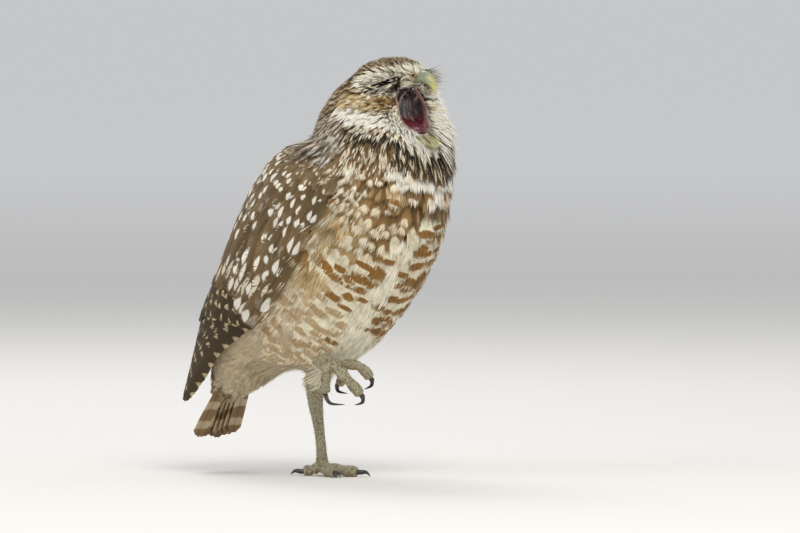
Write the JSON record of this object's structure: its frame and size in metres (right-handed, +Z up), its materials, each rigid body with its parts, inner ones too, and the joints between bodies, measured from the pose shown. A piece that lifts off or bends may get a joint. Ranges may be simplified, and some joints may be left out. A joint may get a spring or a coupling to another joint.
{
  "type": "burrowing owl",
  "caption": "Life-size still model of a burrowing owl that stands on one leg, yawns with its head tilted back and holds the other foot up.",
  "frame": {"origin": "on the floor, on the flat under the ball of the standing foot", "axes": "+X the way the bird faces, +Y its left, +Z up"},
  "size_m": [0.1614, 0.1042, 0.2223],
  "materials": {
    "breast_plumage": "soft cream feathers with rufous-brown bars",
    "nape_plumage": "soft brown feathers with buff spots",
    "face_plumage": "short stiff facial feathers, white brow and chin",
    "tail_feathers": "brown vanes with buff bands",
    "wing_feathers": "dark brown vanes with white spots",
    "eyelid_skin": "closed feathered lids with a dark edge",
    "bill": "smooth horn, green-grey at the root to yellow at the tip",
    "mouth_skin": "wet crimson and grey-purple skin",
    "leg_skin": "pale bristled scales",
    "foot_skin": "olive-grey granular scales with yellow pads",
    "claw_horn": "glossy black horn"
  },
  "bodies": {
    "root": {"torso": "breast_plumage", "neck": "nape_plumage", "head": "face_plumage", "tail": "tail_feathers", "wing_right": "wing_feathers", "eyelid_right": "eyelid_skin", "wing_left": "wing_feathers", "eyelid_left": "eyelid_skin", "beak_upper": "bill", "beak_lower": "bill", "tongue": "mouth_skin", "thigh_left": "breast_plumage", "tarsus_left": "leg_skin", "foot_left": "foot_skin", "claw_left_1": "claw_horn", "claw_left_2": "claw_horn", "claw_left_3": "claw_horn", "claw_left_4": "claw_horn", "foot_right": "foot_skin", "claw_right_1": "claw_horn", "claw_right_2": "claw_horn", "claw_right_3": "claw_horn", "claw_right_4": "claw_horn"}
  },
  "joints": []
}
